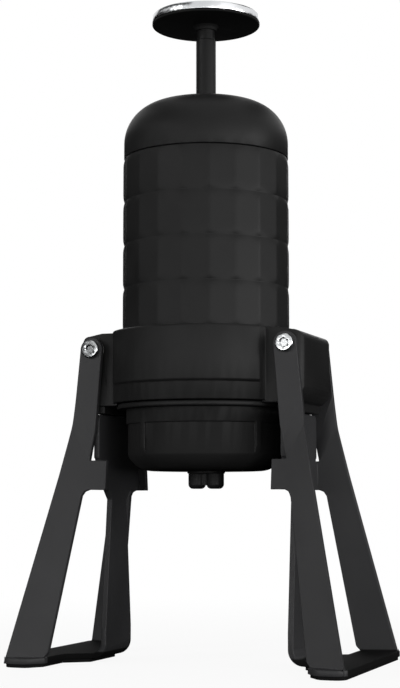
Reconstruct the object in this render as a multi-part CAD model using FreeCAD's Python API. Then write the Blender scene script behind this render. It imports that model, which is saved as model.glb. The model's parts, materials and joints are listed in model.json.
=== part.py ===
import FreeCAD, Part
import math
import os

# Handheld manual espresso maker on two folding legs, in millimetres.
# The origin is on the ground, on the axis of the body. +Z is up, the legs stand at -X and +X,
# and the front, with the plain raised panel of the collar, faces -Y.

V = FreeCAD.Vector

# --- Driving dimensions -------------------------------------------------------------------
# Heights of the main seams
sleeve_top_z = 214.0        # top of the quilted grip sleeve
collar_top_z = 139.0        # top of the collar, where the sleeve stands
collar_bottom_z = 108.6     # lower face of the collar
holder_bottom_z = 80.3      # flat underside of the basket holder
knob_under_z = 273.6        # underside of the knob with the pump at rest

# Clearances
seam_gap = 0.3              # between flat or round faces of pieces that come apart
shaft_gap = 0.05            # radial clearance of a shaft that turns or slides in a hole
face_gap = 0.1              # beside a leg arm, between washer, arm and screw head
fit_gap = 0.1               # radial clearance of fixed pieces that slip together

# Grip sleeve
sleeve_r = 35.7             # to the corners of the facets
sleeve_facets = 20
facet_turn = 4.45           # where the first edge between two facets stands, from +X, in degrees
sleeve_rows = 4
quilt_depth = 0.55          # how far a row falls back at its upper and lower edge
quilt_bevel = 1.7           # height of that fall
sleeve_wall = 2.6

# Collar
collar_r = 40.0
panel_proud = 1.0           # raised bare panel at the front
panel_half_angle = 53.0
panel_bottom_z = 116.0
panel_edge = 0.7            # bevel round the panel and the collar top
collar_floor_top_z = 116.0
collar_floor_bottom_z = 110.0
neck_wall = 3.4             # threaded neck that the basket holder screws on to
neck_bottom_z = 99.0

# Lugs that carry the legs
lug_reach = 6.8             # from the pivot to the lug's outer face
lug_half_y = 21.5
lug_bottom_z = 107.5
lug_top_z = 137.2
lug_plan_corner_r = 5.0
lug_top_corner_r = 4.5
lug_low_corner_r = 8.5
stop_half_y = 20.0          # rib under the lug, over the top edge of the brace plate
stop_gap = 0.4              # from the brace plate up to the rib
stop_reach = 1.4            # from the pivot to the rib's outer face

# Hinges
pivot_reach = 2.8           # from the post's inner face outward
pivot_z = 131.3
shoulder_r = 2.5            # smooth part of the hinge screw, on which the arm turns
thread_r = 2.0
thread_length = 9.0
screw_head_r = 3.5
screw_head_height = 1.5
socket_r = 1.7
socket_depth = 0.9
washer_r = 4.6
washer_thickness = 0.6

# Detent plungers in the underside of each lug
plunger_y = 12.0
plunger_r = 2.2
plunger_length = 9.0
plunger_ball_r = 1.5
plunger_nose = 0.45         # from the barrel's nose up to the ball's centre

# Legs, each one bent sheet. Reaches are measured in X from the inner face of the post, outward
sheet = 2.4
post_gap = 2.0              # between the holder's flange and the post's plane
eye_r = 4.9
arm_top_reach = (-2.1, 7.7)     # inner and outer edge of an arm at the height of its pivot
arm_waist_reach = (0.6, 11.0)   # the same at the waist
arm_knee_reach = (4.4, 15.0)    # the same at the tabs
arm_foot_reach = (16.0, 32.5)   # the same on the ground
waist_z = 98.0
knee_z = 78.5
splay_per_height = 0.12     # how fast the bent part of an arm leaves the upright plane, downward
splay_per_reach = 0.34      # and outward, so that its outer edge stands further forward
tab_end_reach = -3.7        # tabs that stand in from the arms towards the basket holder
tab_z = (72.3, 84.6)
tab_fillet = 2.5            # where a tab's lower edge meets the arm's inner edge
brace_gap = 0.4             # slit between the brace plate and an arm, above the tabs
relief_r = 1.1              # round end of that slit
brace_top_z = 104.0
brace_corner_r = 3.0
post_top_half_y = 8.0
post_foot_half_y = 13.5
post_bend_r = 4.0           # inside radius of the bend from the post to the foot
foot_inner_reach = 16.0
foot_inner_half_y = 20.0
foot_lip = 0.6              # of the foot plate past the arms' outer edges
foot_nose = 1.2             # of the foot plate past the arms' front and rear faces
foot_nose_start = 5.0       # from an arm's inner edge outward to where the nose is full
foot_corner_r = 5.5
foot_toe = 3.0              # how far an arm's inner lower corner is cut away, outward
foot_toe_height = 4.5       # and upward
post_shoulder = 4.0         # slope from the post up to the tabs
pad_thickness = 1.4
pad_inset = 0.8

# Water tank
liner_wall = 1.6
cap_seal_height = 1.4

# Top cap
dome_straight = 6.5         # height of the straight part under the dome's shoulder
dome_shoulder_r = 18.0
dome_height = 26.8
dome_wall = 2.6
boss_r = 8.5                # thick middle of the dome, inside, round the rod bush
base_thickness = 3.0        # cap base, the disc that carries the pump
spigot_length = 9.0
spigot_wall = 2.6

# Pump
rod_r = 4.3
rod_neck_r = 3.8
rod_neck_length = 6.2       # from the knob's underside down to the full rod
rod_neck_slope = 0.5
barrel_bore_r = 11.0
barrel_wall = 2.0
barrel_bottom_z = 128.0
barrel_flange_r = 18.0
barrel_flange_thickness = 2.0
barrel_screw_circle_r = 15.5
barrel_screw_r = 1.2
barrel_screw_head_r = 2.2
barrel_screw_head_height = 1.4
barrel_screw_count = 3
barrel_plug_length = 5.3    # bush that closes the top of the barrel
piston_length = 11.0
o_ring_r = 0.9              # radius of the piston ring's own section
o_ring_sunk = 0.6           # share of a ring's section radius that lies in its groove
piston_ring_drop = 4.4      # from the piston's top to the ring's middle
stud_r = 3.0                # thread that joins rod and piston
stud_foot = 3.0             # metal left under it
spring_wire_r = 0.7
spring_mean_r = 9.4
spring_turns = 9
rod_bush_length = 14.0
rod_bush_wall = 2.2
wiper_length = 1.6
wiper_lip_r = 5.1           # lip that stands out of the dome round the rod
wiper_lip_height = 0.7
wiper_shoulder = 0.4        # how far the ring's outer part lies under the dome's top

# Valve body under the barrel
valve_flange_thickness = 4.0
valve_spigot_length = 4.0
nozzle_r = 5.5              # plugs into the floor of the collar
nozzle_bottom_z = 111.0
nozzle_ring_r = 0.8
outlet_bore_r = 1.2
valve_chamber_r = 2.4
valve_chamber_top_z = 123.0
valve_lip = 1.0
check_ball_r = 2.0
check_spring_wire_r = 0.25
check_spring_turns = 5
inlet_circle_r = 5.6
inlet_hole_r = 1.0
inlet_holes = 6
flap_half_width = 2.2
flap_thickness = 0.6

# Brewing group
block_thickness = 3.6
screen_thickness = 0.9
screen_hole_r = 0.9
block_pocket_depth = 1.0
block_hole_circle_r = 12.0
block_hole_r = 1.2
gasket_width = 4.0
gasket_bottom_z = 100.3

# Basket holder
holder_r = 34.0
holder_wall = 1.7
holder_flange_step = 2.0    # how far the flange stands back from the collar
holder_flange_bottom_z = 106.1
holder_flange_edge = 0.4
holder_corner_r = 11.0
holder_ledge_z = 98.6       # shoulder on which the basket's rim lies
holder_floor = 3.1
holder_floor_fall = 1.0     # of the floor towards the outlet
holder_outlet_r = 3.0
grip_panels = 4
grip_panel_angle = 85.0
grip_panel_turn = 14.5      # where the front panel's middle stands, from -Y towards +X
grip_panel_depth = 0.8
grip_panel_high = 6.2       # from the panels up to the flange
basket_rim_width = 1.7
basket_wall = 0.8
basket_rim_thickness = 1.4
basket_floor_gap = 1.6      # under the basket
basket_hole_r = 0.7
hole_margin = 6.6           # from the basket's wall to the outermost holes, also on the screen

# Twin spout
nozzle_spacing = 8.2
spout_r = 3.7
spout_reach = 7.5           # from the holder's underside down to the nozzles' tips
spout_plate_r = 8.0
spout_plate_thickness = 1.0
spout_bore_r = 1.5
spout_tip_round = 2.0
spout_bridge_height = 5.0   # web between the nozzles under the plate
spout_bridge_half_y = 2.0
spout_spigot_height = 1.5   # into the holder's outlet
spout_spigot_bore_r = 1.8
spout_roof = 0.5            # left over the channel that joins the two bores

# Knob
knob_r = 23.4
knob_rim_height = 3.6
knob_rim_wall = 1.1
knob_top_thickness = 1.4
knob_edge = 0.6
knob_base_edge = 0.9        # thickness of the black base under the bright rim
hub_r = 4.7
hub_depth = 2.2
hub_flare = 0.9             # widening of the hub where it meets the underside
knob_screw_r = 1.5
knob_screw_head_r = 2.8
knob_screw_head_height = 1.0
knob_screw_length = 9.0

# --- Sizes that follow -------------------------------------------------------------------
sleeve_bore_r = sleeve_r - sleeve_wall
holder_flange_r = collar_r - holder_flange_step
holder_bore_r = holder_r - holder_wall
holder_floor_z = holder_bottom_z + holder_floor
basket_floor_z = holder_floor_z + basket_floor_gap
grip_panel_top_z = holder_flange_bottom_z - grip_panel_high
spout_tip_z = holder_bottom_z - spout_reach
neck_r = holder_bore_r - seam_gap
neck_bore_r = neck_r - neck_wall
gasket_bore_r = neck_bore_r - gasket_width
basket_rim_r = neck_bore_r - seam_gap
basket_r = basket_rim_r - basket_rim_width
hole_field_r = basket_r - hole_margin
post_x = holder_flange_r + post_gap      # inner face of the brace plate and of the post below it
plunger_x = post_x + 0.5 * sheet
pivot_x = post_x + pivot_reach
lug_end_x = pivot_x + lug_reach
tab_end_x = post_x + tab_end_reach
foot_inner_x = post_x + foot_inner_reach
arm_top, arm_waist, arm_knee, arm_foot = [
    tuple(post_x + reach for reach in pair_of_reaches)
    for pair_of_reaches in (arm_top_reach, arm_waist_reach, arm_knee_reach, arm_foot_reach)]
liner_r = sleeve_bore_r - fit_gap
liner_bore_r = liner_r - liner_wall
cap_bottom_z = sleeve_top_z + seam_gap
liner_top_z = cap_bottom_z - cap_seal_height - seam_gap
arm_inner_y = lug_half_y + washer_thickness + face_gap
arm_outer_y = arm_inner_y + sheet
brace_half_y = arm_inner_y - brace_gap
foot_outer_x = arm_foot[1] + foot_lip
foot_top_z = pad_thickness + sheet
spigot_r = liner_bore_r - seam_gap
base_top_z = cap_bottom_z + base_thickness
barrel_r = barrel_bore_r + barrel_wall
barrel_top_z = base_top_z + barrel_flange_thickness
plug_bottom_z = barrel_top_z - barrel_plug_length
piston_top_z = plug_bottom_z - seam_gap
piston_bottom_z = piston_top_z - piston_length
piston_r = barrel_bore_r - seam_gap
valve_top_z = barrel_bottom_z + valve_spigot_length
nozzle_hole_r = nozzle_r + 2 * seam_gap
block_bottom_z = collar_floor_bottom_z - block_thickness
screen_bottom_z = block_bottom_z - screen_thickness
dome_top_z = cap_bottom_z + dome_height
cap_r = sleeve_r - 0.5 * quilt_depth
rod_bore_r = rod_r + shaft_gap
rod_bush_r = rod_bore_r + rod_bush_wall
knob_rim_z = knob_under_z + knob_base_edge
knob_top_z = knob_rim_z + knob_rim_height


# --- Helpers ------------------------------------------------------------------------------
def disc(radius, z_low, z_high, x=0.0, y=0.0):
    return Part.makeCylinder(radius, z_high - z_low, V(x, y, z_low))


def ring(bore, radius, z_low, z_high):
    return disc(radius, z_low, z_high).cut(disc(bore, z_low - 1, z_high + 1))


def block(x_low, x_high, y_low, y_high, z_low, z_high):
    return Part.makeBox(x_high - x_low, y_high - y_low, z_high - z_low, V(x_low, y_low, z_low))


def turned(profile):
    """Solid of revolution about Z from (radius, z) points."""
    wire = Part.makePolygon([V(r, 0, z) for r, z in profile + profile[:1]])
    return Part.Face(wire).revolve(V(0, 0, 0), V(0, 0, 1), 360)


def turned_edges(edges):
    wire = Part.Wire(edges)
    return Part.Face(wire).revolve(V(0, 0, 0), V(0, 0, 1), 360)


def line(a, b):
    return Part.LineSegment(a, b).toShape()


def arc(a, middle, b):
    return Part.Arc(a, middle, b).toShape()


def prism(points, direction):
    """Straight extrusion of a polygon."""
    face = Part.Face(Part.makePolygon(points + points[:1]))
    return face.extrude(direction)


def rounded_box(x_low, x_high, y_low, y_high, z_low, z_high, radius):
    """Box with its four upright edges rounded."""
    box = block(x_low, x_high, y_low, y_high, z_low, z_high)
    upright = [e for e in box.Edges if abs(e.tangentAt(e.FirstParameter).z) > 0.99]
    return box.makeFillet(radius, upright)


def lofted(sections):
    """Ruled solid through closed polygons that have the same number of points."""
    return Part.makeLoft([Part.makePolygon(s + s[:1]) for s in sections], True, True)


def fused(shapes):
    whole = shapes[0].multiFuse(shapes[1:]) if len(shapes) > 1 else shapes[0]
    return whole.removeSplitter()


def cylinder_along_y(radius, x, z, y_low, y_high):
    return Part.makeCylinder(radius, y_high - y_low, V(x, y_low, z), V(0, 1, 0))


def mirrored_x(shape):
    return shape.mirror(V(0, 0, 0), V(1, 0, 0))


def mirrored_y(shape):
    return shape.mirror(V(0, 0, 0), V(0, 1, 0))


def blend(a, b, share):
    return a + (b - a) * share


def hole_rosette(radius, hole_r, z_low, z_high, rings):
    """Holes on concentric circles, six more on each circle outward, and one in the middle."""
    holes = [disc(hole_r, z_low, z_high)]
    for k in range(1, rings + 1):
        count = 6 * k
        reach = radius * k / rings
        for i in range(count):
            turn = 2 * math.pi * i / count
            holes.append(disc(hole_r, z_low, z_high, reach * math.cos(turn), reach * math.sin(turn)))
    return Part.makeCompound(holes)


def coil(mean_r, wire_r, z_low, z_high, turns):
    """Round wire wound into a compression spring between two seats."""
    bottom = z_low + wire_r
    height = z_high - wire_r - bottom
    path = Part.makeHelix(height / turns, height, mean_r)
    path.translate(V(0, 0, bottom))
    start = path.Edges[0].valueAt(path.Edges[0].FirstParameter)
    heading = path.Edges[0].tangentAt(path.Edges[0].FirstParameter)
    section = Part.Wire(Part.makeCircle(wire_r, start, heading))
    return Part.Wire(path.Edges).makePipeShell([section], True, True)


# --- Body ---------------------------------------------------------------------------------
def make_grip_sleeve():
    """Tube of flat facets in rows, each row falling back at its edges like a quilt."""
    row_height = (sleeve_top_z - collar_top_z) / sleeve_rows

    def outline(radius, z):
        step = 2 * math.pi / sleeve_facets
        turns = [math.radians(facet_turn) + step * i for i in range(sleeve_facets)]
        return [V(radius * math.cos(t), radius * math.sin(t), z) for t in turns]

    rows = []
    for k in range(sleeve_rows):
        low = collar_top_z + k * row_height
        high = low + row_height
        rows.append(lofted([
            outline(sleeve_r - quilt_depth, low),
            outline(sleeve_r, low + quilt_bevel),
            outline(sleeve_r, high - quilt_bevel),
            outline(sleeve_r - quilt_depth, high)]))
    whole = fused(rows)
    return whole.cut(disc(sleeve_bore_r, collar_top_z - 1, sleeve_top_z + 1))


def make_lug():
    """Block at +X that carries one leg: rounded in plan and at its two outer corners."""
    root_x = neck_r
    low = lug_low_corner_r
    top = lug_top_corner_r
    diagonal = math.sqrt(0.5)
    low_middle = V(lug_end_x - low + low * diagonal, 0, lug_bottom_z + low - low * diagonal)
    top_middle = V(lug_end_x - top + top * diagonal, 0, lug_top_z - top + top * diagonal)
    corners = [
        V(root_x, 0, lug_bottom_z),
        V(lug_end_x - low, 0, lug_bottom_z),
        V(lug_end_x, 0, lug_bottom_z + low),
        V(lug_end_x, 0, lug_top_z - top),
        V(lug_end_x - top, 0, lug_top_z),
        V(collar_r - panel_edge, 0, collar_top_z - panel_edge),
        V(root_x, 0, collar_top_z - panel_edge)]
    edges = [
        line(corners[0], corners[1]), arc(corners[1], low_middle, corners[2]),
        line(corners[2], corners[3]), arc(corners[3], top_middle, corners[4]),
        line(corners[4], corners[5]), line(corners[5], corners[6]), line(corners[6], corners[0])]
    side = Part.Face(Part.Wire(edges)).extrude(V(0, 2 * lug_half_y, 0))
    side.translate(V(0, -lug_half_y, 0))
    plan = rounded_box(-lug_end_x, lug_end_x, -lug_half_y, lug_half_y,
                       lug_bottom_z - 1, collar_top_z + 1, lug_plan_corner_r)
    room = disc(holder_flange_r + seam_gap, lug_bottom_z - 1, collar_bottom_z)
    return side.common(plan).cut(room)


def make_stop_rib():
    """Rib under the lug at +X that closes the gap over the brace plate."""
    return block(holder_flange_r + seam_gap, pivot_x + stop_reach, -stop_half_y, stop_half_y,
                 brace_top_z + stop_gap, lug_bottom_z + lug_low_corner_r)


def make_front_panel():
    """Bare raised panel on the front of the collar."""
    r = collar_r + panel_proud
    profile = [V(neck_r, 0, panel_bottom_z), V(r - panel_edge, 0, panel_bottom_z),
               V(r, 0, panel_bottom_z + panel_edge), V(r, 0, collar_top_z - panel_edge),
               V(r - panel_edge, 0, collar_top_z), V(neck_r, 0, collar_top_z)]
    face = Part.Face(Part.makePolygon(profile + profile[:1]))
    face.rotate(V(0, 0, 0), V(0, 0, 1), -90 - panel_half_angle)
    return face.revolve(V(0, 0, 0), V(0, 0, 1), 2 * panel_half_angle)


def hinge_thread(side, side_y):
    """Where a hinge screw's thread sits in the lug."""
    y_in = lug_half_y - thread_length
    low, high = (y_in, lug_half_y) if side_y > 0 else (-lug_half_y, -y_in)
    return cylinder_along_y(thread_r, side * pivot_x, pivot_z, low, high)


def make_collar():
    outside = turned([
        (0, collar_top_z), (collar_r - panel_edge, collar_top_z), (collar_r, collar_top_z - panel_edge),
        (collar_r, collar_bottom_z), (neck_r, collar_bottom_z), (neck_r, neck_bottom_z),
        (0, neck_bottom_z)])
    lug = fused([make_lug(), make_stop_rib()])
    whole = fused([outside, make_front_panel(), lug, mirrored_x(lug)])
    tools = [
        disc(sleeve_bore_r, collar_floor_top_z, collar_top_z + 1),
        disc(neck_bore_r, neck_bottom_z - 1, collar_floor_bottom_z),
        disc(nozzle_hole_r, collar_floor_bottom_z - 1, collar_floor_top_z + 1)]
    for side in (-1, 1):
        for side_y in (-1, 1):
            tools.append(hinge_thread(side, side_y))
            tools.append(disc(plunger_r, brace_top_z, lug_bottom_z + plunger_length,
                              side * plunger_x, side_y * plunger_y))
    return whole.cut(Part.makeCompound(tools))


def make_tank_liner():
    return ring(liner_bore_r, liner_r, collar_floor_top_z, liner_top_z)


# --- Hinges -------------------------------------------------------------------------------
def make_hinge_screw(side, side_y):
    """Shoulder screw: thread in the lug, smooth shoulder under the arm, socket head outside."""
    head_low = arm_outer_y + face_gap
    head_high = head_low + screw_head_height
    head = cylinder_along_y(screw_head_r, side * pivot_x, pivot_z, head_low, head_high)
    rim = [e for e in head.Edges if abs(e.BoundBox.YMin - head_high) < 1e-6
           and abs(e.BoundBox.YMax - head_high) < 1e-6]
    head = head.makeFillet(0.5 * screw_head_height, rim)
    socket = cylinder_along_y(socket_r, side * pivot_x, pivot_z, head_high - socket_depth, head_high + 1)
    shoulder = cylinder_along_y(shoulder_r, side * pivot_x, pivot_z, lug_half_y, head_low)
    screw = fused([head.cut(socket), shoulder])
    if side_y < 0:
        screw = mirrored_y(screw)
    return fused([screw, hinge_thread(side, side_y)])


def make_hinge_washer(side, side_y):
    y_low, y_high = lug_half_y, lug_half_y + washer_thickness
    washer = cylinder_along_y(washer_r, side * pivot_x, pivot_z, y_low, y_high)
    washer = washer.cut(cylinder_along_y(shoulder_r, side * pivot_x, pivot_z, y_low - 1, y_high + 1))
    return washer if side_y > 0 else mirrored_y(washer)


def make_detent_plunger(side, side_y):
    """Spring plunger pressed into the lug; its ball stands just over the brace plate's edge."""
    x, y = side * plunger_x, side_y * plunger_y
    ball_z = brace_top_z + seam_gap + plunger_ball_r
    nose_low = ball_z - plunger_nose
    barrel = disc(plunger_r, nose_low, lug_bottom_z + plunger_length, x, y)
    ball = Part.makeSphere(plunger_ball_r, V(x, y, ball_z))
    return fused([barrel, ball])


# --- Legs ---------------------------------------------------------------------------------
def arm_edges(z):
    """Inner and outer X of an arm at height z."""
    stations = [(0.0, arm_foot), (knee_z, arm_knee), (waist_z, arm_waist), (pivot_z, arm_top)]
    for (z_low, low), (z_high, high) in zip(stations, stations[1:]):
        if z <= z_high:
            share = (z - z_low) / (z_high - z_low)
            return tuple(blend(a, b, share) for a, b in zip(low, high))
    return arm_top


def splayed_y(x, z):
    """|Y| of an arm's outer face at (x, z) on the splayed part, which starts at the tab's upper corner."""
    return (arm_outer_y + splay_per_height * (tab_z[1] - z)
            + splay_per_reach * (x - arm_edges(tab_z[1])[0]))


def bend_end():
    """Where the bend line that rises from the tab's upper corner meets the arm's outer edge."""
    start_x, start_z = arm_edges(tab_z[1])[0], tab_z[1]
    lean = splay_per_height / splay_per_reach
    edge_lean = (arm_top[1] - arm_waist[1]) / (pivot_z - waist_z)
    z = (arm_waist[1] - edge_lean * waist_z - start_x + lean * start_z) / (lean - edge_lean)
    return start_x + lean * (z - start_z), z


def make_front_arm():
    """One sheet: upright from the pivot to the bend line, then splayed down to the foot, with the tab."""
    corner = (arm_edges(tab_z[1])[0], tab_z[1])
    toe_z = pad_thickness + foot_toe_height
    fillet_low_z = tab_z[0] - tab_fillet
    fillet_rise = tab_fillet * (1 - math.sqrt(0.5))
    upright = [corner, bend_end(), (arm_top[1], pivot_z), (arm_top[0], pivot_z), (arm_waist[0], waist_z)]
    splayed = [
        corner, (tab_end_x, tab_z[1]), (tab_end_x, tab_z[0]),
        (arm_edges(tab_z[0])[0] - tab_fillet, tab_z[0]),
        (arm_edges(tab_z[0])[0] - fillet_rise, tab_z[0] - fillet_rise),
        (arm_edges(fillet_low_z)[0], fillet_low_z), (arm_edges(toe_z)[0], toe_z), (arm_edges(pad_thickness)[0] + foot_toe, pad_thickness),
        (arm_edges(pad_thickness)[1], pad_thickness), (arm_knee[1], knee_z), (arm_waist[1], waist_z),
        bend_end()]
    return fused([
        prism([V(x, -arm_outer_y, z) for x, z in upright], V(0, sheet, 0)),
        prism([V(x, -splayed_y(x, z), z) for x, z in splayed], V(0, sheet, 0)),
        cylinder_along_y(eye_r, pivot_x, pivot_z, -arm_outer_y, -arm_inner_y)])


def make_brace_and_post():
    """Brace plate between the tabs and the post below it, bent outward into the foot."""
    reach = 0.5 * (foot_inner_x + foot_outer_x)
    outer_r = post_bend_r + sheet
    diagonal = math.sqrt(0.5)
    far = post_x + outer_r
    face_x = post_x + sheet
    centre_z = pad_thickness + outer_r
    outside_middle = V(far - outer_r * diagonal, 0, centre_z - outer_r * diagonal)
    inside_middle = V(far - post_bend_r * diagonal, 0, centre_z - post_bend_r * diagonal)
    edges = [
        line(V(post_x, 0, brace_top_z), V(post_x, 0, centre_z)),
        arc(V(post_x, 0, centre_z), outside_middle, V(far, 0, pad_thickness)),
        line(V(far, 0, pad_thickness), V(reach, 0, pad_thickness)),
        line(V(reach, 0, pad_thickness), V(reach, 0, foot_top_z)),
        line(V(reach, 0, foot_top_z), V(far, 0, foot_top_z)),
        arc(V(far, 0, foot_top_z), inside_middle, V(face_x, 0, centre_z)),
        line(V(face_x, 0, centre_z), V(face_x, 0, brace_top_z)),
        line(V(face_x, 0, brace_top_z), V(post_x, 0, brace_top_z))]
    half_width = splayed_y(post_x, 0)
    bent = Part.Face(Part.Wire(edges)).extrude(V(0, 2 * half_width, 0))
    bent.translate(V(0, -half_width, 0))
    tab_inner_y = splayed_y(post_x, knee_z) - 0.5 * sheet
    tops = rounded_top(brace_half_y, brace_top_z, brace_corner_r)
    right = [(post_foot_half_y, pad_thickness - 1), (post_foot_half_y, pad_thickness + 2 * outer_r),
             (post_top_half_y, tab_z[0] - post_shoulder), (post_top_half_y + post_shoulder, tab_z[0]),
             (tab_inner_y, tab_z[0]), (tab_inner_y, tab_z[1]), (brace_half_y, tab_z[1])]
    outline = [V(0, y, z) for y, z in right + tops]
    outline += [V(0, -p.y, p.z) for p in reversed(outline)]
    face = Part.Face(Part.makePolygon(outline + outline[:1]))
    plate = bent.common(face.extrude(V(2 * foot_outer_x, 0, 0)))
    reliefs = [Part.makeCylinder(relief_r, foot_outer_x, V(0, side_y * brace_half_y, tab_z[1]), V(1, 0, 0))
               for side_y in (-1, 1)]
    return plate.cut(Part.makeCompound(reliefs))


def rounded_top(half_y, top_z, radius):
    """Points up one rounded corner."""
    turns = [math.radians(a) for a in (0, 30, 60, 90)]
    return [(half_y - radius + radius * math.cos(t), top_z - radius + radius * math.sin(t)) for t in turns]


def foot_outline(inset):
    """Right half to left half of the foot, drawn in by inset."""
    nose_y = splayed_y(arm_foot[1], 0) + foot_nose
    half = [
        (foot_outer_x - inset, nose_y - inset),
        (arm_foot[0] + foot_nose_start + inset, nose_y - inset),
        (arm_foot[0] + inset, splayed_y(arm_foot[0], 0) - inset),
        (foot_inner_x + inset, foot_inner_half_y),
        (post_x + sheet + post_bend_r + inset, post_foot_half_y - inset)]
    points = [V(x, y, 0) for x, y in half]
    return points + [V(p.x, -p.y, 0) for p in reversed(points)]


def foot_prism(inset, height):
    """The foot's outline drawn in by inset, with its four outer and nose corners rounded."""
    outline = foot_outline(inset)
    solid = prism(outline, V(0, 0, height))
    corners = [p for p in outline if abs(p.y) > splayed_y(arm_foot[0], 0)]
    edges = [e for e in solid.Edges if e.BoundBox.ZLength > 0.5 * height
             and any(math.hypot(e.CenterOfMass.x - p.x, e.CenterOfMass.y - p.y) < seam_gap for p in corners)]
    return solid.makeFillet(foot_corner_r - inset, edges)


def make_foot_plate():
    plate = foot_prism(0.0, sheet)
    plate.translate(V(0, 0, pad_thickness))
    return plate


def make_right_leg():
    arm = make_front_arm()
    whole = fused([arm, mirrored_y(arm), make_brace_and_post(), make_foot_plate()])
    hole = cylinder_along_y(shoulder_r + shaft_gap, pivot_x, pivot_z, -2 * lug_half_y, 2 * lug_half_y)
    return whole.cut(hole)


def make_right_foot_pad():
    return foot_prism(pad_inset, pad_thickness)


# --- Top cap ------------------------------------------------------------------------------
def dome_arcs(radius, straight, shoulder, height, z):
    """Outline of the dome from its straight side over the shoulder to the axis."""
    centre_r = radius - shoulder
    rise = straight - height
    crown = (centre_r ** 2 + rise ** 2 - shoulder ** 2) / (2 * (-rise - shoulder))
    crown_z = z + height - crown
    centre_z = z + straight
    lean = math.atan2(centre_z - crown_z, centre_r)
    joint = V(centre_r + shoulder * math.cos(lean), 0, centre_z + shoulder * math.sin(lean))
    half = 0.5 * lean
    shoulder_middle = V(centre_r + shoulder * math.cos(half), 0, centre_z + shoulder * math.sin(half))
    top = 0.5 * (lean + 0.5 * math.pi)
    crown_middle = V(crown * math.cos(top), 0, crown_z + crown * math.sin(top))
    return [
        line(V(radius, 0, z), V(radius, 0, centre_z)),
        arc(V(radius, 0, centre_z), shoulder_middle, joint),
        arc(joint, crown_middle, V(0, 0, z + height))]


def dome_solid(inset, z):
    edges = dome_arcs(cap_r - inset, dome_straight, dome_shoulder_r - inset,
                      dome_top_z - inset - z, z)
    edges.append(line(V(0, 0, dome_top_z - inset), V(0, 0, z)))
    edges.append(line(V(0, 0, z), V(cap_r - inset, 0, z)))
    return turned_edges(edges)


def make_top_cap():
    """Smooth domed shell, thickened inside where the rod comes out."""
    outside = dome_solid(0.0, cap_bottom_z)
    shell = outside.cut(dome_solid(dome_wall, cap_bottom_z))
    boss_low = dome_top_z - 2 * dome_wall
    boss = disc(boss_r, boss_low, dome_top_z).common(outside)
    return fused([shell, boss]).cut(disc(rod_bush_r, boss_low - 1, dome_top_z + 1))


def make_cap_base():
    """Disc inside the dome with the threaded spigot that screws into the tank."""
    plate = ring(barrel_r, cap_r - dome_wall, cap_bottom_z, base_top_z)
    spigot = ring(spigot_r - spigot_wall, spigot_r, cap_bottom_z - spigot_length, cap_bottom_z)
    base = fused([plate, spigot])
    return base.cut(Part.makeCompound([screw_shank(i) for i in range(barrel_screw_count)]))


def make_cap_seal():
    return ring(spigot_r, liner_r - fit_gap, cap_bottom_z - cap_seal_height, cap_bottom_z)


def make_rod_bush():
    top = dome_top_z - wiper_length
    return ring(rod_bore_r, rod_bush_r, top - rod_bush_length, top)


def make_rod_wiper():
    """Lip ring in the top of the dome that keeps the rod dry."""
    low = dome_top_z - wiper_length
    shoulder_z = dome_top_z - wiper_shoulder
    lip_top_z = dome_top_z + wiper_lip_height
    return turned([(rod_bore_r, low), (rod_bush_r, low), (rod_bush_r, shoulder_z),
                   (wiper_lip_r, shoulder_z), (wiper_lip_r, lip_top_z), (rod_bore_r, lip_top_z)])


# --- Pump ---------------------------------------------------------------------------------
def screw_place(index):
    turn = math.pi / 2 + 2 * math.pi * index / barrel_screw_count
    return barrel_screw_circle_r * math.cos(turn), barrel_screw_circle_r * math.sin(turn)


def screw_shank(index):
    return disc(barrel_screw_r, cap_bottom_z, barrel_top_z, *screw_place(index))


def make_barrel_screws():
    screws = []
    for index in range(barrel_screw_count):
        head = disc(barrel_screw_head_r, barrel_top_z, barrel_top_z + barrel_screw_head_height,
                    *screw_place(index))
        screws.append(fused([head, screw_shank(index)]))
    return Part.makeCompound(screws)


def make_pump_barrel():
    tube = disc(barrel_r, barrel_bottom_z, barrel_top_z)
    flange = disc(barrel_flange_r, base_top_z, barrel_top_z)
    barrel = fused([tube, flange]).cut(disc(barrel_bore_r, barrel_bottom_z - 1, barrel_top_z + 1))
    return barrel.cut(Part.makeCompound([screw_shank(i) for i in range(barrel_screw_count)]))


def make_barrel_plug():
    """Bush that closes the top of the barrel and stops the piston."""
    return ring(rod_r + 2 * seam_gap, barrel_bore_r, plug_bottom_z, barrel_top_z)


def make_valve_body():
    """Foot of the pump: inlet ports from the tank and an outlet nozzle into the collar."""
    low = barrel_bottom_z - valve_flange_thickness
    body = fused([disc(barrel_r, low, barrel_bottom_z),
                  disc(barrel_bore_r, barrel_bottom_z, valve_top_z),
                  disc(nozzle_r, nozzle_bottom_z, low)])
    tools = [
        disc(outlet_bore_r, nozzle_bottom_z - 1, valve_top_z + 1),
        disc(valve_chamber_r, nozzle_bottom_z + valve_lip, valve_chamber_top_z),
        make_nozzle_o_ring()]
    for i in range(inlet_holes):
        turn = 2 * math.pi * i / inlet_holes
        x, y = inlet_circle_r * math.cos(turn), inlet_circle_r * math.sin(turn)
        tools.append(disc(inlet_hole_r, low - 1, valve_top_z + 1, x, y))
    return body.cut(Part.makeCompound(tools))


def make_nozzle_o_ring():
    groove_z = 0.5 * (collar_floor_top_z + collar_floor_bottom_z)
    return Part.makeTorus(nozzle_r - o_ring_sunk * nozzle_ring_r, nozzle_ring_r, V(0, 0, groove_z))


def make_inlet_flap():
    """Soft ring over the inlet ports that lets water in and not back out."""
    return ring(inlet_circle_r - flap_half_width, inlet_circle_r + flap_half_width,
                valve_top_z, valve_top_z + flap_thickness)


def make_check_ball():
    return Part.makeSphere(check_ball_r, V(0, 0, valve_chamber_top_z - check_ball_r))


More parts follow.
